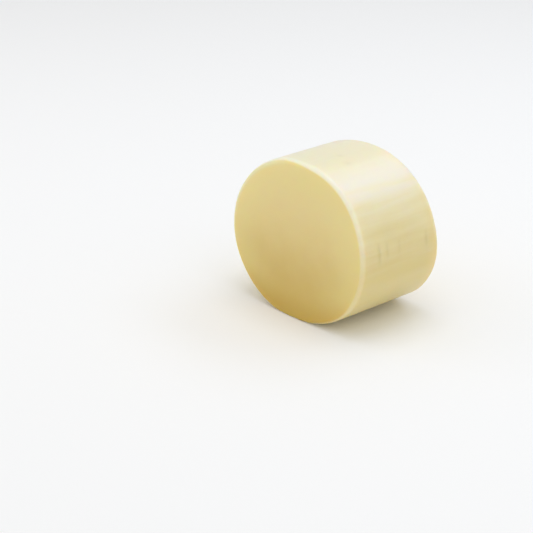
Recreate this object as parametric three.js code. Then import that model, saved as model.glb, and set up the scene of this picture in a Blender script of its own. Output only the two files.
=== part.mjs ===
// A cut length of provolone log lying on its side: one solid piece of cheese.
// Millimetres and degrees, +Z up. The log lies along Y and its front cut looks towards -Y.
// The origin is on the resting plane, under the middle of the log's box.

import * as THREE from "three";
import { LoftGeometry } from "three/addons/geometries/LoftGeometry.js";

// Driving dimensions
const MEAN_DIAMETER = 110;
const LENGTH = 67.5; // from cut to cut, at the height of the section's centre
const CUT_LEAN = 3.6; // each cut leans in towards the top, as the log has slumped on its foot
const FRONT_EDGE_RADIUS = 3.4;
const BACK_EDGE_RADIUS = 5;
const SETTLED_DEPTH = 2.2; // how much of the round underside is pressed flat
const SETTLED_BLEND = 0.8; // half the height over which the flat foot turns into the round side

// The pressed section is a circle with these waves added to its radius. The share is of the
// mean radius, and the crest is the angle of one crest, from +X towards +Z.
const SECTION_WAVES = [
  { crests: 2, share: 0.07, crestAngle: 0 },
  { crests: 3, share: 0.0056, crestAngle: 74 },
  { crests: 4, share: 0.0049, crestAngle: 66 },
  { crests: 5, share: 0.005, crestAngle: 45 },
];

// Mesh steps
const POINTS_AROUND = 144;
const EDGE_STEPS = 6;
const SIDE_STEPS = 8;

// Look
const CHEESE_COLOUR = 0xe6d59b;
const CHEESE_ROUGHNESS = 0.45;

const meanRadius = MEAN_DIAMETER / 2;
const leanSlope = Math.tan(THREE.MathUtils.degToRad(CUT_LEAN));

// A point of the section at an angle, and the direction that points straight out there.
function sectionAt(angle) {
  let radius = meanRadius;
  let radiusSlope = 0;
  for (const { crests, share, crestAngle } of SECTION_WAVES) {
    const phase = crests * (angle - THREE.MathUtils.degToRad(crestAngle));
    radius += meanRadius * share * Math.cos(phase);
    radiusSlope -= meanRadius * share * crests * Math.sin(phase);
  }
  const radial = new THREE.Vector2(Math.cos(angle), Math.sin(angle));
  const around = new THREE.Vector2(-radial.y, radial.x);
  const tangent = radial.clone().multiplyScalar(radiusSlope).addScaledVector(around, radius);
  const outward = new THREE.Vector2(tangent.y, -tangent.x).normalize();
  return { point: radial.multiplyScalar(radius), outward };
}

const section = [];
for (let i = 0; i < POINTS_AROUND; i += 1) {
  section.push(sectionAt((2 * Math.PI * i) / POINTS_AROUND));
}
const lowest = Math.min(...section.map(({ point }) => point.y));
const restingPlane = lowest + SETTLED_DEPTH;

// Heights well under the resting plane become zero and heights well over it stay as they are.
// Between the two a parabola meets both without a crease.
function settle(height) {
  if (height >= SETTLED_BLEND) return height;
  if (height <= -SETTLED_BLEND) return 0;
  return (height + SETTLED_BLEND) ** 2 / (4 * SETTLED_BLEND);
}

// One ring of the skin. The inset is measured inwards from the section, the depth from the plane
// of the cut, and the end is +1 for the back cut and -1 for the front cut.
function ring(inset, depth, end) {
  return section.map(({ point, outward }) => {
    const x = point.x - inset * outward.x;
    const height = settle(point.y - inset * outward.y - restingPlane);
    const aboveCentre = height + restingPlane;
    const y = end * (LENGTH / 2 - depth - leanSlope * aboveCentre);
    return new THREE.Vector3(x, y, height);
  });
}

// The rings of a rounded edge, from the rim of the cut to the start of the side.
function roundedEdge(radius, end) {
  const rings = [];
  for (let i = 0; i <= EDGE_STEPS; i += 1) {
    const turn = (Math.PI / 2) * (i / EDGE_STEPS);
    rings.push(ring(radius * (1 - Math.sin(turn)), radius * (1 - Math.cos(turn)), end));
  }
  return rings;
}

// The rings of the side strictly between two end rings.
function sideBetween(first, last) {
  const rings = [];
  for (let i = 1; i < SIDE_STEPS; i += 1) {
    rings.push(first.map((point, j) => point.clone().lerp(last[j], i / SIDE_STEPS)));
  }
  return rings;
}

const backEdge = roundedEdge(BACK_EDGE_RADIUS, 1);
const frontEdge = roundedEdge(FRONT_EDGE_RADIUS, -1).reverse();
const side = sideBetween(backEdge.at(-1), frontEdge[0]);
const skin = new LoftGeometry([...backEdge, ...side, ...frontEdge], { capStart: true, capEnd: true });

skin.computeBoundingBox();
const middle = skin.boundingBox.getCenter(new THREE.Vector3());
skin.translate(-middle.x, -middle.y, 0);

const cheese = new THREE.MeshStandardMaterial({
  color: CHEESE_COLOUR,
  roughness: CHEESE_ROUGHNESS,
  metalness: 0,
});
const log = new THREE.Mesh(skin, cheese);
log.name = "provolone_log";

const part = new THREE.Group();
part.name = "provolone_cheese";
part.add(log);

export default part;
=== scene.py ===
"""A cut length of provolone log: the finished look of the part, and a plain stage to see it on.

Lengths are in metres. The log lies along Y with its front cut towards -Y, it rests on z = 0,
and its origin is under the middle of its box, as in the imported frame.
"""

import math

import bpy
import numpy as np
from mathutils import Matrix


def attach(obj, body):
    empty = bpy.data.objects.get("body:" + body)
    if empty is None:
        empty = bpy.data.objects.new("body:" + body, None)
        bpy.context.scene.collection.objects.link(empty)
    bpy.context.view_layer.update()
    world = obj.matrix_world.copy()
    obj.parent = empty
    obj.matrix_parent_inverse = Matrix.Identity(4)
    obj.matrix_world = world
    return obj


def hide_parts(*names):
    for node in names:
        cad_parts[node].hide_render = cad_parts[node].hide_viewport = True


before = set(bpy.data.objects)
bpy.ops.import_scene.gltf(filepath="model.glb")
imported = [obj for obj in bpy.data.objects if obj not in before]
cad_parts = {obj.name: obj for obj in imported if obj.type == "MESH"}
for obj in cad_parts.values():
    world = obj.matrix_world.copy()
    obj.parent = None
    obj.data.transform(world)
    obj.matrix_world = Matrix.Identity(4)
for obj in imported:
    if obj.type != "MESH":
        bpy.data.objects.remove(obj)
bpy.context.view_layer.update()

bl_info = {
    "name": "Provolone Log",
    "version": (1, 0, 0),
    "blender": (4, 5, 0),
    "location": "3D View > Sidebar > Provolone",
    "description": "Builds a cut length of provolone log and a plain stage for it",
    "category": "Add Mesh",
}

SOLID_NODE = "provolone_log"
PIECE_NAME = "provolone_skin"
MM = 0.001

# The pressed section is a circle with these waves added to its radius: the number of crests,
# the height as a share of the mean radius, and the angle of one crest in degrees.
SECTION_WAVES = (
    (2, 0.07, 0),
    (3, 0.0056, 74),
    (4, 0.0049, 66),
    (5, 0.005, 45),
)

# Rows and columns of the skin
COLUMNS_AROUND = 384
CUT_ROWS = 52
EDGE_ROWS = 11
SIDE_ROWS = 104

# Random waves of the rind: their number, the range of crests around the log without its upper
# end, and how far along the log a wave holds its shape
RELIEF_SEED = 7
LUMP_COUNT = 14
LUMP_CRESTS = (4, 13)
LUMP_REACH = 30 * MM
FLUTE_COUNT = 46
FLUTE_CRESTS = (24, 72)
FLUTE_REACH = 22 * MM

# Lines that a knife leaves on the cuts: their number, the widest and the closest spacing, the
# mean slant and its spread, and the rise that is added for the square of the distance across
KNIFE_LINE_COUNT = 16
KNIFE_SPACINGS = (9 * MM, 2.6 * MM)
KNIFE_SLANT = 0.16
KNIFE_SLANT_SPREAD = 0.05
KNIFE_BOW = 1.6

# Lengths over which the relief passes from the cuts to the rind, and fades towards the floor
RELIEF_BLEND = 4 * MM
RELIEF_FADE = 4 * MM

# The nicks that the press left on the side: angle around in degrees, place along the log and
# length around it in millimetres, and depth as a share of the full depth.
PRESS_NICKS = (
    (5.5, -19.4, 15.0, 1.0),
    (6.5, -12.7, 11.0, 0.6),
    (6.0, -2.4, 10.0, 0.4),
    (5.5, 21.3, 11.0, 0.6),
)
NICK_WIDTH = 1.3 * MM

# Shallow dents in the rind: angle around in degrees, place along the log and radius in
# millimetres.
RIND_DENTS = (
    (70.0, -7.4, 2.6),
    (81.8, -3.8, 2.2),
    (118.0, 12.0, 3.4),
    (196.0, -9.0, 3.0),
    (152.0, 20.0, 2.4),
)
# Painted shade is laid in the dents as well as the nicks; this sets how dark it is in a dent.
DENT_SHADE = 0.35  # how dark a dent is next to the deepest nick

# Values that the skin carries for its finish
EDGE_VALUE = "edge_distance"
# This value carries how much painted shade the nicks and dents get.
MARK_VALUE = "hollow_shade_share"

# Noise of the finish: features in a metre, and how much slower the streaks change along the log
MOTTLE_SCALE = 60
GRAIN_SCALE = 900
STREAK_SCALE = 170
STREAK_STRETCH = (1.0, 0.1, 1.0)
NOISE_DETAIL = 2
NOISE_MIDDLE = 0.5

# Each band of the finish goes from where its share is 0 to where its share is 1.
# Bands by the distance from the edge's middle, positive on the cuts and negative on the rind
CUT_BAND = (0.1 * MM, 2.4 * MM)
RIM_BAND = (34 * MM, 2 * MM)
MARGIN_BAND = (4.4 * MM, 0.5 * MM)
EDGE_BAND_ON_CUT = (2.2 * MM, 0.8 * MM)
EDGE_BAND_ON_RIND = (-2.8 * MM, -0.4 * MM)

# Bands by the place across or along the log
MARGIN_ACROSS = (-5 * MM, -30 * MM)
DRAWN_OVER_ACROSS = (15 * MM, -20 * MM)
SHOULDER_ACROSS = (10 * MM, 35 * MM)
FAR_END_ALONG = (20 * MM, 32 * MM)

# Bands by the height above the floor
MARGIN_HEIGHTS = (25 * MM, 60 * MM)
DRAWN_OVER_HEIGHTS = (30 * MM, 4 * MM)
RIM_HEIGHTS = (6 * MM, 28 * MM)
# The painted shade at the foot of the cuts fades out between these heights.
FOOT_SHADE_HEIGHTS = (-6 * MM, 78 * MM)
# Over these heights the rind is painted paler towards the top, as painted light from above.
PALE_TOP_HEIGHTS = (40 * MM, 96 * MM)
# The painted highlight on the shoulders lies between these heights.
HIGHLIGHT_HEIGHTS = (76 * MM, 93 * MM)

# How far noise moves those heights up and down, and how far the colour of the cuts is drawn over
# the edge on the left and at the foot
MOTTLE_RISE = 12 * MM
STREAK_RISE = 26 * MM
HIGHLIGHT_RISE = 24 * MM
DRAWN_OVER = 1.7 * MM

# Strengths of the finish
RIM_GLOW_SHARE = 0.42
MARGIN_SHARE = 0.9
FAR_END_GLOW_SHARE = 0.75
HOLLOW_SHADE_SHARE = 0.4
EDGE_SHARE = 0.16
EDGE_SHARE_OFF_FOOT = 0.12
EDGE_SHARE_PALE_TOP = 0.33
FAR_END_EDGE_LOSS = 0.5
GLOSS = 0.4
GLOSS_PALE_TOP = 0.6
GLOSS_STREAK = 0.8
FAR_END_GLOSS_LOSS = 0.6
CUT_ROUGHNESS_SPREAD = 0.1
RIND_ROUGHNESS_SPREAD = 0.12
RIND_GRAIN = 0.2
GRAIN_STRENGTH = 0.2
GRAIN_HEIGHT = 0.1 * MM
SCATTER_COLOUR = (1.0, 0.72, 0.3)
CHEESE_IOR = 1.45
COAT_IOR = 1.8

# Stage
FLOOR_REACH = 6.0
FLOOR_DROP = 0.2 * MM
FLOOR_ROUGHNESS = 0.9
FLOOR_GLOSS = 0.2
ROOM_COLOUR = (1.0, 1.0, 1.0)
LIGHT_DISTANCE = 1.2

# Soft lights: width and height in metres, and the direction from the log in which they stand
BACK_LIGHT = ((1.1, 0.3), (0.12, 0.63, 0.77))
FRONT_LIGHT = ((0.8, 0.8), (-0.75, -0.55, 0.35))
TOP_LIGHT = ((0.8, 0.8), (0.0, 0.0, 1.0))
SIDE_LIGHT = ((0.8, 0.8), (0.75, 0.0, 0.65))


class LogShape(bpy.types.PropertyGroup):
    """Sizes of the log and of the relief on it."""

    mean_diameter: bpy.props.FloatProperty(
        name="Mean diameter",
        description="Mean width of the pressed section",
        default=110 * MM,
        subtype="DISTANCE",
        unit="LENGTH",
    )
    length: bpy.props.FloatProperty(
        name="Length",
        description="From cut to cut at the height of the section's centre",
        default=67.5 * MM,
        subtype="DISTANCE",
        unit="LENGTH",
    )
    cut_lean: bpy.props.FloatProperty(
        name="Cut lean",
        description="How far each cut leans in towards the top",
        default=math.radians(3.6),
        subtype="ANGLE",
        unit="ROTATION",
    )
    front_edge: bpy.props.FloatProperty(
        name="Front edge",
        description="Radius of the rounded edge of the front cut",
        default=3.4 * MM,
        subtype="DISTANCE",
        unit="LENGTH",
    )
    back_edge: bpy.props.FloatProperty(
        name="Back edge",
        description="Radius of the rounded edge of the back cut",
        default=5 * MM,
        subtype="DISTANCE",
        unit="LENGTH",
    )
    settled_depth: bpy.props.FloatProperty(
        name="Settled depth",
        description="How much of the round underside is pressed flat",
        default=2.2 * MM,
        subtype="DISTANCE",
        unit="LENGTH",
    )
    settled_blend: bpy.props.FloatProperty(
        name="Settled blend",
        description="Half the height over which the flat foot turns into the round side",
        default=0.8 * MM,
        subtype="DISTANCE",
        unit="LENGTH",
    )
    flute_height: bpy.props.FloatProperty(
        name="Flute height",
        description="Height of the fine flutes along the rind",
        default=0.02 * MM,
        subtype="DISTANCE",
        unit="LENGTH",
    )
    lump_height: bpy.props.FloatProperty(
        name="Lump height",
        description="Height of the broad unevenness of the rind",
        default=0.12 * MM,
        subtype="DISTANCE",
        unit="LENGTH",
    )
    nick_depth: bpy.props.FloatProperty(
        name="Nick depth",
        description="Depth of the deepest press nick",
        default=0.3 * MM,
        subtype="DISTANCE",
        unit="LENGTH",
    )
    dent_depth: bpy.props.FloatProperty(
        name="Dent depth",
        description="Depth of the shallow dents on the rind",
        default=0.16 * MM,
        subtype="DISTANCE",
        unit="LENGTH",
    )
    knife_height: bpy.props.FloatProperty(
        name="Knife line height",
        description="Height of the faint lines a knife leaves on the cuts",
        default=0.01 * MM,
        subtype="DISTANCE",
        unit="LENGTH",
    )


class CheeseFinish(bpy.types.PropertyGroup):
    """Colours and gloss of the cheese."""

    cut_colour: bpy.props.FloatVectorProperty(
        name="Cut colour",
        description="Colour of the cuts at the top of the log",
        default=(0.83, 0.68, 0.315),
        subtype="COLOR",
        size=3,
    )
    # The deeper colour at the foot is painted shade.
    cut_foot_shade: bpy.props.FloatVectorProperty(
        name="Cut colour at the foot",
        description="Deeper colour of the cuts where the shaded foot of the log is",
        default=(0.60, 0.41, 0.08),
        subtype="COLOR",
        size=3,
    )
    # The brighter ring is painted light that leaks in through the rind near the edge.
    rim_glow_colour: bpy.props.FloatVectorProperty(
        name="Rim colour",
        description="Brighter colour of the ring of each cut that lies just inside the rind",
        default=(0.88, 0.79, 0.335),
        subtype="COLOR",
        size=3,
    )
    # This colour lies in a thin band on the left of the cuts, beside the rind, paler and duller than
    # the cuts.
    margin_colour: bpy.props.FloatVectorProperty(
        name="Margin colour",
        description="Duller colour of the cuts where they have dried beside the rind",
        default=(0.81, 0.765, 0.49),
        subtype="COLOR",
        size=3,
    )
    rind_colour: bpy.props.FloatVectorProperty(
        name="Rind colour",
        description="Colour of the rind on the sides",
        default=(0.735, 0.607, 0.25),
        subtype="COLOR",
        size=3,
    )
    # The paler top is painted light from above: the rind goes from its own colour lower down to this
    # colour at the top.
    rind_lit_top: bpy.props.FloatVectorProperty(
        name="Lit rind",
        description="Paler colour of the rind where it has dried, on the top of the log",
        default=(0.895, 0.825, 0.545),
        subtype="COLOR",
        size=3,
    )
    # This whitish colour is a painted highlight on both shoulders of the rind.
    highlight_colour: bpy.props.FloatVectorProperty(
        name="Highlight colour",
        description="Whitish colour of the bloom on the shoulders of the rind",
        default=(0.86, 0.795, 0.635),
        subtype="COLOR",
        size=3,
    )
    # The pale edges are a painted highlight: the rounded edges catch the light and let it through.
    edge_highlight_colour: bpy.props.FloatVectorProperty(
        name="Edge colour",
        description="Pale colour that the rounded edges take on as they dry",
        default=(0.94, 0.91, 0.80),
        subtype="COLOR",
        size=3,
    )
    # The darker colour is painted shade in the bottom of the nicks and dents.
    hollow_shade_colour: bpy.props.FloatVectorProperty(
        name="Mark colour",
        description="Darker colour in the bottom of the nicks and dents",
        default=(0.56, 0.46, 0.16),
        subtype="COLOR",
        size=3,
    )
    scatter_reach: bpy.props.FloatProperty(
        name="Scatter reach",
        description="How far light spreads inside the cheese",
        default=6 * MM,
        subtype="DISTANCE",
        unit="LENGTH",
    )
    cut_roughness: bpy.props.FloatProperty(
        name="Cut roughness",
        description="Roughness of the cuts",
        default=0.5,
        subtype="FACTOR",
    )
    rind_roughness: bpy.props.FloatProperty(
        name="Rind roughness",
        description="Roughness of the rind",
        default=0.38,
        subtype="FACTOR",
    )


class StageLook(bpy.types.PropertyGroup):
    """The floor, the lights and the camera."""

    floor_colour: bpy.props.FloatVectorProperty(
        name="Floor colour",
        description="Colour of the floor",
        default=(0.97, 0.97, 0.97),
        subtype="COLOR",
        size=3,
    )
    room_light: bpy.props.FloatProperty(
        name="Room light",
        description="Strength of the even light from all sides",
        default=0.705,
    )
    back_light: bpy.props.FloatProperty(
        name="Back light",
        description="Power of the wide light above and behind the log",
        default=1.7,
        unit="POWER",
    )
    back_tint: bpy.props.FloatVectorProperty(
        name="Back tint",
        description="Colour of the back light, cool as from a window",
        default=(0.78, 0.88, 1.0),
        subtype="COLOR",
        size=3,
    )
    front_light: bpy.props.FloatProperty(
        name="Front light",
        description="Power of the soft light in front of the log, to its left",
        default=1.2,
        unit="POWER",
    )
    top_light: bpy.props.FloatProperty(
        name="Top light",
        description="Power of the soft light overhead",
        default=2.8,
        unit="POWER",
    )
    side_light: bpy.props.FloatProperty(
        name="Side light",
        description="Power of the soft light to the right of the log",
        default=0.8,
        unit="POWER",
    )
    camera_turn: bpy.props.FloatProperty(
        name="Camera turn",
        description="How far round to the right the camera stands",
        default=math.radians(48.21),
        subtype="ANGLE",
        unit="ROTATION",
    )
    camera_pitch: bpy.props.FloatProperty(
        name="Camera pitch",
        description="How far down the camera looks",
        default=math.radians(22.84),
        subtype="ANGLE",
        unit="ROTATION",
    )
    camera_offset: bpy.props.FloatVectorProperty(
        name="Camera offset",
        description="The section's centre as the camera sees it: to the right, up and ahead",
        default=(42.6 * MM, 23.46 * MM, 939.6 * MM),
        subtype="XYZ",
        unit="LENGTH",
        size=3,
    )
    lens: bpy.props.FloatProperty(
        name="Lens",
        description="Focal length of the camera, in millimetres",
        default=101.3,
    )


class Wire:
    """An output of a node. Python arithmetic on it adds Math nodes."""

    def __init__(self, tree, socket):
        self.tree = tree
        self.socket = socket

    def arithmetic(self, operation, first, second):
        return add_node(self.tree, "ShaderNodeMath", {"operation": operation}, {0: first, 1: second})

    def __add__(self, other):
        return self.arithmetic("ADD", self, other)

    def __radd__(self, other):
        return self.arithmetic("ADD", other, self)

    def __sub__(self, other):
        return self.arithmetic("SUBTRACT", self, other)

    def __rsub__(self, other):
        return self.arithmetic("SUBTRACT", other, self)

    def __mul__(self, other):
        return self.arithmetic("MULTIPLY", self, other)

    def __rmul__(self, other):
        return self.arithmetic("MULTIPLY", other, self)


def add_node(tree, kind, settings, sockets, output=0):
    """Adds a node, sets its settings, then its sockets, and gives one of its outputs as a Wire."""
    node = tree.nodes.new(kind)
    for name, value in settings.items():
        setattr(node, name, value)
    for key, value in sockets.items():
        if isinstance(value, Wire):
            tree.links.new(value.socket, node.inputs[key])
        else:
            node.inputs[key].default_value = value
    return Wire(tree, node.outputs[output]) if node.outputs else None


def empty_tree(owner):
    """The node tree of a material or a world, with nothing in it."""
    owner.use_nodes = True
    owner.node_tree.nodes.clear()
    return owner.node_tree


def mix_colour(tree, share, first, second):
    """A colour that goes from the first to the second as the share goes from 0 to 1."""
    # The Mix node keeps its colour sockets at places 6 and 7, and its colour result at place 2.
    colours = {"Factor": share}
    for place, colour in ((6, first), (7, second)):
        colours[place] = colour if isinstance(colour, Wire) else (*colour, 1.0)
    return add_node(tree, "ShaderNodeMix", {"data_type": "RGBA"}, colours, output=2)


def ramp(tree, value, start, end):
    """A share that goes smoothly from 0 at the start of a band to 1 at its end."""
    limits = {"Value": value, "From Min": start, "From Max": end}
    return add_node(tree, "ShaderNodeMapRange", {"interpolation_type": "SMOOTHSTEP"}, limits)


def noise(tree, place, scale):
    """Soft noise from 0 to 1, with about the given number of features in a metre."""
    wanted = {"Vector": place, "Scale": scale, "Detail": NOISE_DETAIL}
    return add_node(tree, "ShaderNodeTexNoise", {"noise_dimensions": "3D"}, wanted, output="Fac")


def section_curve(shape, angles):
    """Points of the pressed section and the directions that point straight out of it.

    The radius is the mean radius plus a cosine wave for each entry of SECTION_WAVES. The outward
    direction is the tangent, found from the radius and its slope, turned by a right angle.
    """
    mean_radius = shape.mean_diameter / 2
    radius = np.full_like(angles, mean_radius)
    slope = np.zeros_like(angles)
    for crests, share, crest_angle in SECTION_WAVES:
        phase = crests * (angles - math.radians(crest_angle))
        radius += mean_radius * share * np.cos(phase)
        slope -= mean_radius * share * crests * np.sin(phase)
    radial = np.stack([np.cos(angles), np.sin(angles)], axis=-1)
    around = np.stack([-np.sin(angles), np.cos(angles)], axis=-1)
    tangent = slope[:, None] * radial + radius[:, None] * around
    outward = np.stack([tangent[:, 1], -tangent[:, 0]], axis=-1)
    outward /= np.linalg.norm(outward, axis=1, keepdims=True)
    return radius[:, None] * radial, outward


def section_centre(shape):
    """The section's centre in the frame: where it lies across the log's box and above the floor."""
    angles = np.linspace(0, 2 * math.pi, COLUMNS_AROUND, endpoint=False)
    points, _ = section_curve(shape, angles)
    box_middle = (points.max(axis=0) + points.min(axis=0)) / 2
    return -box_middle[0], -points[:, 1].min() - shape.settled_depth


def settle(shape, height):
    """Presses heights under the floor flat: zero below the blend, unchanged above it.

    Inside the blend it is a parabola that meets both sides without a crease.
    """
    blend = shape.settled_blend
    pressed = (height + blend) ** 2 / (4 * blend)
    return np.where(height >= blend, height, np.where(height <= -blend, 0, pressed))


def skin_rows(shape):
    """The rows of the skin at its front end and at its back end, as two arrays.

    A row is the section shrunk to a share of its rim, drawn in by an inset and set back from a
    cut by a depth. Each array lists the shares of its rows, then their insets, their depths, the
    end (-1 at the front cut, +1 at the back) and their distances from the edge's middle along
    the skin, which are positive on the cuts and negative on the rind.
    """
    shares = np.linspace(0, 1, CUT_ROWS + 1)[1:]
    turns = np.linspace(0, math.pi / 2, EDGE_ROWS + 1)[1:]
    parts = []
    for radius, end in ((shape.front_edge, -1), (shape.back_edge, 1)):
        cut = np.stack([
            shares,
            np.full_like(shares, radius),
            np.zeros_like(shares),
            np.full_like(shares, end),
            radius * math.pi / 4 + (1 - shares) * shape.mean_diameter / 2,
        ])
        edge = np.stack([
            np.ones_like(turns),
            radius * (1 - np.sin(turns)),
            radius * (1 - np.cos(turns)),
            np.full_like(turns, end),
            radius * (math.pi / 4 - turns),
        ])
        parts.append(np.concatenate([cut, edge], axis=1))
    return parts[0], parts[1][:, ::-1]


def bare_rows(shape, rows, points, outward, centre_height):
    """Places of the rows of one end before any relief, as an array of rows, columns and x, y, z."""
    share, inset, depth, end, _ = (entry[:, None] for entry in rows)
    x = share * (points[:, 0] - inset * outward[:, 0])
    raised = share * (points[:, 1] - inset * outward[:, 1]) + centre_height
    height = settle(shape, raised)
    slope = math.tan(shape.cut_lean)
    y = end * (shape.length / 2 - depth - slope * (height - centre_height))
    return np.stack([x, y, height], axis=-1)


def waves(draws, around, along, crest_range, reach, count):
    """A sum of random cosine waves over the skin, with a height of about one.

    Each wave has a whole number of crests around the log, so it closes on itself, and runs
    slowly along it, so it fades in and out over the reach.
    """
    crests = draws.integers(*crest_range, count)
    along_rate = draws.normal(0, 1 / reach, count)
    phase = draws.uniform(0, 2 * math.pi, count)
    angle = crests * around[..., None] + along_rate * along[..., None] + phase
    return np.cos(angle).sum(axis=-1) * math.sqrt(2 / count)


def arc_from(shape, around, angle):
    """Length of arc around the log from an angle in degrees, the short way round."""
    turn = np.angle(np.exp(1j * (around - math.radians(angle))))
    return turn * shape.mean_diameter / 2


def nick_share(shape, around, along):
    """How deep the nicks go at each place, as a share of the full depth.

    A nick is a bell curve along the log, times a parabola around it that runs out to nothing at
    both ends.
    """
    share = np.zeros(around.shape)
    for angle, place, length, depth in PRESS_NICKS:
        turned = arc_from(shape, around, angle) / (length * MM / 2)
        across = np.exp(-(((along - place * MM) / NICK_WIDTH) ** 2))
        share += depth * across * np.clip(1 - turned**2, 0, None)
    return share


def dent_share(shape, around, along):
    """How deep the dents go at each place: a bell curve of the distance from a dent's middle."""
    share = np.zeros(around.shape)
    for angle, place, radius in RIND_DENTS:
        distance = np.hypot(arc_from(shape, around, angle), along - place * MM)
        share += np.exp(-((distance / (radius * MM)) ** 2))
    return share


def rind_relief(shape, draws, around, along):
    """Height of the rind's relief: broad lumps and fine flutes, less the nicks and the dents."""
    lumps = waves(draws, around, along, LUMP_CRESTS, LUMP_REACH, LUMP_COUNT)
    flutes = waves(draws, around, along, FLUTE_CRESTS, FLUTE_REACH, FLUTE_COUNT)
    height = shape.lump_height * lumps + shape.flute_height * flutes
    height -= shape.nick_depth * nick_share(shape, around, along)
    height -= shape.dent_depth * dent_share(shape, around, along)
    return height


def cut_relief(shape, draws, across, up):
    """Height of a cut's relief: faint curved lines that a knife leaves on its way down.

    Each line is a cosine wave over the height, bowed by the place across the cut.
    """
    slowest, fastest = (2 * math.pi / spacing for spacing in KNIFE_SPACINGS)
    rate = draws.uniform(slowest, fastest, KNIFE_LINE_COUNT)
    slant = draws.normal(KNIFE_SLANT, KNIFE_SLANT_SPREAD, KNIFE_LINE_COUNT)
    phase = draws.uniform(0, 2 * math.pi, KNIFE_LINE_COUNT)
    bow = KNIFE_BOW * across**2
    line = up[..., None] + slant * across[..., None] + bow[..., None]
    lines = np.cos(rate * line + phase).sum(axis=-1)
    return shape.knife_height * lines * math.sqrt(2 / KNIFE_LINE_COUNT)


def grid_normals(places):
    """Outward directions of a grid of places: the cross product of its steps along and around."""
    along = np.gradient(places, axis=0)
    around = np.roll(places, -1, axis=1) - np.roll(places, 1, axis=1)
    normals = np.cross(around, along)
    return normals / np.linalg.norm(normals, axis=-1, keepdims=True)


def log_skin(shape):
    """The whole skin: places, its two poles, and its values for the finish on every place.

    The rows of the two ends are joined by straight rows along the side. The relief is then added
    along the outward directions, and what would pass through the floor is pressed flat again.
    """
    angles = np.linspace(0, 2 * math.pi, COLUMNS_AROUND, endpoint=False)
    points, outward = section_curve(shape, angles)
    centre_across, centre_height = section_centre(shape)
    front_rows, back_rows = skin_rows(shape)
    front_distance, back_distance = front_rows[-1], back_rows[-1]
    front = bare_rows(shape, front_rows, points, outward, centre_height)
    back = bare_rows(shape, back_rows, points, outward, centre_height)
    steps = np.linspace(0, 1, SIDE_ROWS + 2)[1:-1, None, None]
    side = front[-1] + steps * (back[0] - front[-1])
    places = np.concatenate([front, side, back])
    steps = steps[:, :, 0]
    side_length = np.linalg.norm(back[0] - front[-1], axis=1).mean()
    side_distance = -np.minimum(steps, 1 - steps)[:, 0] * side_length
    side_distance += np.where(steps[:, 0] < 0.5, front_distance[-1], back_distance[0])
    distance = np.concatenate([front_distance, side_distance, back_distance])

    draws = np.random.default_rng(RELIEF_SEED)
    around = np.broadcast_to(angles, places.shape[:2])
    rind = rind_relief(shape, draws, around, places[..., 1])
    front_cut = cut_relief(shape, draws, places[..., 0], places[..., 2])
    back_cut = cut_relief(shape, draws, places[..., 0], places[..., 2])
    on_cut = np.clip(distance / RELIEF_BLEND + 0.5, 0, 1)[:, None]
    is_front = (np.arange(len(places)) < len(places) / 2)[:, None]
    height = (1 - on_cut) * rind + on_cut * np.where(is_front, front_cut, back_cut)
    height *= np.clip(places[..., 2] / RELIEF_FADE, 0, 1)
    places = places + height[..., None] * grid_normals(places)
    places[..., 2] = np.maximum(places[..., 2], 0)
    poles = np.stack([places[0].mean(axis=0), places[-1].mean(axis=0)])

    # How much painted shade each place gets in the nicks and dents.
    hollow_shades = nick_share(shape, around, places[..., 1])
    hollow_shades += DENT_SHADE * dent_share(shape, around, places[..., 1])
    values = {EDGE_VALUE: np.broadcast_to(distance[:, None], around.shape), MARK_VALUE: hollow_shades}
    places[..., 0] += centre_across
    poles[:, 0] += centre_across
    return places, poles, values


def skin_mesh(places, poles, values):
    """A closed mesh of the skin: quads between the rows and a fan of triangles at each pole."""
    rows, columns = places.shape[:2]
    corner = np.arange(rows * columns).reshape(rows, columns)
    right = np.roll(corner, -1, axis=1)
    quads = np.stack([corner[:-1], right[:-1], right[1:], corner[1:]], axis=-1).reshape(-1, 4)
    front_pole, back_pole = rows * columns, rows * columns + 1
    front_fan = np.stack([np.full(columns, front_pole), right[0], corner[0]], axis=-1)
    back_fan = np.stack([np.full(columns, back_pole), corner[-1], right[-1]], axis=-1)
    fans = np.concatenate([front_fan, back_fan])

    vertices = np.concatenate([places.reshape(-1, 3), poles])
    loops = np.concatenate([quads.ravel(), fans.ravel()])
    starts = np.concatenate([np.arange(len(quads)) * 4, 4 * len(quads) + np.arange(len(fans)) * 3])
    mesh = bpy.data.meshes.new(PIECE_NAME)
    mesh.vertices.add(len(vertices))
    mesh.vertices.foreach_set("co", vertices.ravel())
    mesh.loops.add(len(loops))
    mesh.loops.foreach_set("vertex_index", loops)
    mesh.polygons.add(len(starts))
    mesh.polygons.foreach_set("loop_start", starts)
    mesh.update(calc_edges=True)
    mesh.polygons.foreach_set("use_smooth", np.ones(len(starts), dtype=bool))

    for name, grid in values.items():
        at_poles = [grid[0].mean(), grid[-1].mean()]
        stored = mesh.attributes.new(name, "FLOAT", "POINT")
        stored.data.foreach_set("value", np.append(grid.ravel(), at_poles).astype(np.float32))
    if mesh.validate():
        raise RuntimeError("the skin's mesh had faults")
    return mesh


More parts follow.
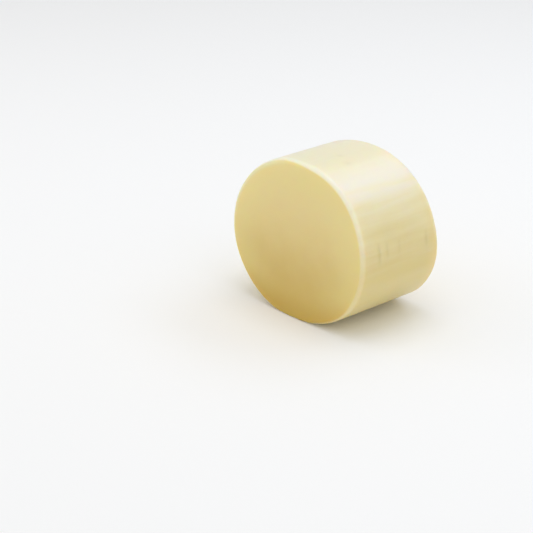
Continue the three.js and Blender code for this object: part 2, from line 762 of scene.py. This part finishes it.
def cheese_material(finish):
    """Waxy cheese that light sinks into.

    The cuts are mottled and deeper in colour at the foot, which is painted shade, with a brighter
    ring inside the rind, which is painted light leaking through it, and a duller margin on the left.
    The rounded edges are paler, a painted highlight. The rind has pale and glossy streaks along the
    log, is paler towards the top as painted light from above, has a whitish painted highlight on both
    shoulders, takes the cuts' colour near the back cut as painted light shining through the back rim,
    and has painted shade in the nicks and dents.
    """
    material = bpy.data.materials.new("cheese_finish")
    tree = empty_tree(material)

    place = add_node(tree, "ShaderNodeTexCoord", {}, {}, output="Object")
    across, along, height = (
        add_node(tree, "ShaderNodeSeparateXYZ", {}, {"Vector": place}, output=axis) for axis in "XYZ"
    )
    edge, mark = (
        add_node(tree, "ShaderNodeAttribute", {"attribute_name": name}, {}, output="Fac")
        for name in (EDGE_VALUE, MARK_VALUE)
    )
    stretched = add_node(
        tree, "ShaderNodeVectorMath", {"operation": "MULTIPLY"}, {0: place, 1: STREAK_STRETCH}
    )
    mottle = noise(tree, place, MOTTLE_SCALE) - NOISE_MIDDLE
    grain = noise(tree, place, GRAIN_SCALE)
    streak = noise(tree, stretched, STREAK_SCALE) - NOISE_MIDDLE

    # Where each part of the finish is
    margin = ramp(tree, across, *MARGIN_ACROSS) * ramp(tree, height, *MARGIN_HEIGHTS)
    margin = margin * ramp(tree, edge, *MARGIN_BAND)
    drawn_over = ramp(tree, across, *DRAWN_OVER_ACROSS) + ramp(tree, height, *DRAWN_OVER_HEIGHTS)
    edge = edge + drawn_over * DRAWN_OVER
    on_cut = ramp(tree, edge, *CUT_BAND)
    # Where the painted light through the rind lies on the cuts.
    rim_glow = ramp(tree, edge, *RIM_BAND) * ramp(tree, height, *RIM_HEIGHTS)
    on_edge = ramp(tree, edge, *EDGE_BAND_ON_CUT) * ramp(tree, edge, *EDGE_BAND_ON_RIND)
    far_end = ramp(tree, along, *FAR_END_ALONG)
    # How far above the painted shade of the foot a place is.
    above_foot_shade = ramp(tree, height + mottle * MOTTLE_RISE, *FOOT_SHADE_HEIGHTS)
    # How far towards the top a place is: the rind is painted paler there as painted light from above,
    # and is glossier.
    paled = ramp(tree, height + streak * STREAK_RISE + mottle * MOTTLE_RISE, *PALE_TOP_HEIGHTS)
    # The places are squared, so that both sides of the log get a shoulder.
    shoulder = ramp(tree, across * across, *(place_across**2 for place_across in SHOULDER_ACROSS))
    # Where the painted highlight lies on the shoulders.
    highlight = shoulder * ramp(tree, height + streak * HIGHLIGHT_RISE, *HIGHLIGHT_HEIGHTS)

    # Colour
    # Painted shade: the cuts are deeper in colour towards the foot.
    cut = mix_colour(tree, above_foot_shade, finish.cut_foot_shade, finish.cut_colour)
    # Painted light leaking in through the rind: a brighter ring just inside it.
    cut = mix_colour(tree, rim_glow * RIM_GLOW_SHARE, cut, finish.rim_glow_colour)
    cut = mix_colour(tree, margin * MARGIN_SHARE, cut, finish.margin_colour)
    # Painted light from above: the rind is paler towards the top.
    rind = mix_colour(tree, paled, finish.rind_colour, finish.rind_lit_top)
    # Painted highlight: a whitish band on both shoulders of the rind.
    rind = mix_colour(tree, highlight, rind, finish.highlight_colour)
    # Painted light shining through the back rim: lower down, the rind near the back cut takes the cuts'
    # colour.
    rind = mix_colour(tree, far_end * (1 - paled) * FAR_END_GLOW_SHARE, rind, finish.cut_colour)
    # Painted shade in the nicks and dents.
    rind = mix_colour(tree, mark * HOLLOW_SHADE_SHARE, rind, finish.hollow_shade_colour)
    colour = mix_colour(tree, on_cut, rind, cut)
    # Painted highlight on the rounded edges, stronger higher up and towards the top, weaker at the back
    # end.
    edge_highlight_share = EDGE_SHARE + above_foot_shade * EDGE_SHARE_OFF_FOOT + paled * EDGE_SHARE_PALE_TOP
    edge_highlight_share = edge_highlight_share * (1 - far_end * FAR_END_EDGE_LOSS)
    colour = mix_colour(tree, on_edge * edge_highlight_share, colour, finish.edge_highlight_colour)

    # Gloss and grain
    cut_roughness = finish.cut_roughness + mottle * CUT_ROUGHNESS_SPREAD
    rind_roughness = finish.rind_roughness + streak * RIND_ROUGHNESS_SPREAD
    roughness = rind_roughness + on_cut * (cut_roughness - rind_roughness)
    gloss = GLOSS + paled * GLOSS_PALE_TOP + streak * GLOSS_STREAK
    gloss = gloss * (1 - on_cut) * (1 - far_end * FAR_END_GLOSS_LOSS)
    bump = grain * (RIND_GRAIN + on_cut * (1 - RIND_GRAIN))
    normal = add_node(
        tree,
        "ShaderNodeBump",
        {},
        {"Height": bump, "Strength": GRAIN_STRENGTH, "Distance": GRAIN_HEIGHT},
    )

    surface = add_node(
        tree,
        "ShaderNodeBsdfPrincipled",
        {"subsurface_method": "RANDOM_WALK"},
        {
            "Base Color": colour,
            "Roughness": roughness,
            "Coat Weight": add_node(tree, "ShaderNodeClamp", {}, {"Value": gloss}),
            "Coat Roughness": finish.rind_roughness,
            "Coat IOR": COAT_IOR,
            "Normal": normal,
            "Subsurface Weight": 1.0,
            "Subsurface Radius": SCATTER_COLOUR,
            "Subsurface Scale": finish.scatter_reach,
            "IOR": CHEESE_IOR,
        },
    )
    add_node(tree, "ShaderNodeOutputMaterial", {}, {"Surface": surface})
    return material


class PROVOLONE_OT_log(bpy.types.Operator):
    """Build the log's skin in place of its plain solid."""

    bl_idname = "provolone.log"
    bl_label = "Log"

    def execute(self, context):
        scene = context.scene
        mesh = skin_mesh(*log_skin(scene.provolone_shape))
        mesh.materials.append(cheese_material(scene.provolone_finish))
        log = bpy.data.objects.new(PIECE_NAME, mesh)
        scene.collection.objects.link(log)
        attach(log, "root")
        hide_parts(SOLID_NODE)
        return {"FINISHED"}


def floor_material(colour):
    """Plain matt floor."""
    material = bpy.data.materials.new("floor_finish")
    tree = empty_tree(material)
    surface = add_node(
        tree,
        "ShaderNodeBsdfPrincipled",
        {},
        {"Base Color": (*colour, 1.0), "Roughness": FLOOR_ROUGHNESS, "Specular IOR Level": FLOOR_GLOSS},
    )
    add_node(tree, "ShaderNodeOutputMaterial", {}, {"Surface": surface})
    return material


def room_world(strength):
    """Even white light from all sides."""
    world = bpy.data.worlds.new("room")
    tree = empty_tree(world)
    light = add_node(
        tree, "ShaderNodeBackground", {}, {"Color": (*ROOM_COLOUR, 1.0), "Strength": strength}
    )
    add_node(tree, "ShaderNodeOutputWorld", {}, {"Surface": light})
    return world


def soft_light(name, power, setting, aim):
    """A large flat light, set up as one of the soft lights above, that faces the aim."""
    size, direction = setting
    data = bpy.data.lights.new(name, "AREA")
    data.energy = power
    data.shape = "RECTANGLE"
    data.size, data.size_y = size
    away = np.array(direction) / np.linalg.norm(direction)
    light = bpy.data.objects.new(name, data)
    light.location = aim + LIGHT_DISTANCE * away
    light.rotation_euler = (math.acos(away[2]), 0, math.atan2(away[0], -away[1]))
    bpy.context.scene.collection.objects.link(light)
    return light


class PROVOLONE_OT_stage(bpy.types.Operator):
    """Set out the floor, the lights and the camera."""

    bl_idname = "provolone.stage"
    bl_label = "Stage"

    def execute(self, context):
        scene = context.scene
        look = scene.provolone_stage
        scene.view_settings.view_transform = "Standard"

        signs = ((-1, -1), (1, -1), (1, 1), (-1, 1))
        corners = [(x * FLOOR_REACH, y * FLOOR_REACH, -FLOOR_DROP) for x, y in signs]
        mesh = bpy.data.meshes.new("floor")
        mesh.from_pydata(corners, [], [(0, 1, 2, 3)])
        mesh.materials.append(floor_material(look.floor_colour))
        floor = bpy.data.objects.new("floor", mesh)
        scene.collection.objects.link(floor)

        scene.world = room_world(look.room_light)
        centre_across, centre_height = section_centre(scene.provolone_shape)
        middle = np.array([centre_across, 0.0, centre_height])
        back_light = soft_light("back_light", look.back_light, BACK_LIGHT, middle)
        back_light.data.color = look.back_tint
        soft_light("front_light", look.front_light, FRONT_LIGHT, middle)
        soft_light("top_light", look.top_light, TOP_LIGHT, middle)
        soft_light("side_light", look.side_light, SIDE_LIGHT, middle)

        turn, pitch = look.camera_turn, look.camera_pitch
        right = np.array([math.cos(turn), math.sin(turn), 0.0])
        ahead = np.array([
            -math.sin(turn) * math.cos(pitch),
            math.cos(turn) * math.cos(pitch),
            -math.sin(pitch),
        ])
        up = np.cross(right, ahead)
        offset = look.camera_offset
        data = bpy.data.cameras.new("camera")
        data.lens = look.lens
        camera = bpy.data.objects.new("camera", data)
        camera.location = middle - offset[0] * right - offset[1] * up - offset[2] * ahead
        camera.rotation_euler = (math.pi / 2 - pitch, 0, turn)
        scene.collection.objects.link(camera)
        scene.camera = camera
        return {"FINISHED"}


class PROVOLONE_PT_panel(bpy.types.Panel):
    """Lists the pieces and their sizes and colours."""

    bl_idname = "PROVOLONE_PT_panel"
    bl_label = "Provolone Log"
    bl_space_type = "VIEW_3D"
    bl_region_type = "UI"
    bl_category = "Provolone"

    def draw(self, context):
        scene = context.scene
        for operator, group in (
            (PROVOLONE_OT_log, (scene.provolone_shape, scene.provolone_finish)),
            (PROVOLONE_OT_stage, (scene.provolone_stage,)),
        ):
            box = self.layout.box()
            box.operator(operator.bl_idname)
            for settings in group:
                for name in settings.__annotations__:
                    box.prop(settings, name)


CLASSES = (
    LogShape,
    CheeseFinish,
    StageLook,
    PROVOLONE_OT_log,
    PROVOLONE_OT_stage,
    PROVOLONE_PT_panel,
)


def register():
    for each in CLASSES:
        bpy.utils.register_class(each)
    bpy.types.Scene.provolone_shape = bpy.props.PointerProperty(type=LogShape)
    bpy.types.Scene.provolone_finish = bpy.props.PointerProperty(type=CheeseFinish)
    bpy.types.Scene.provolone_stage = bpy.props.PointerProperty(type=StageLook)


def unregister():
    del bpy.types.Scene.provolone_stage
    del bpy.types.Scene.provolone_finish
    del bpy.types.Scene.provolone_shape
    for each in reversed(CLASSES):
        bpy.utils.unregister_class(each)


def main():
    register()
    bpy.ops.provolone.log()
    bpy.ops.provolone.stage()


if __name__ == "__main__":
    main()
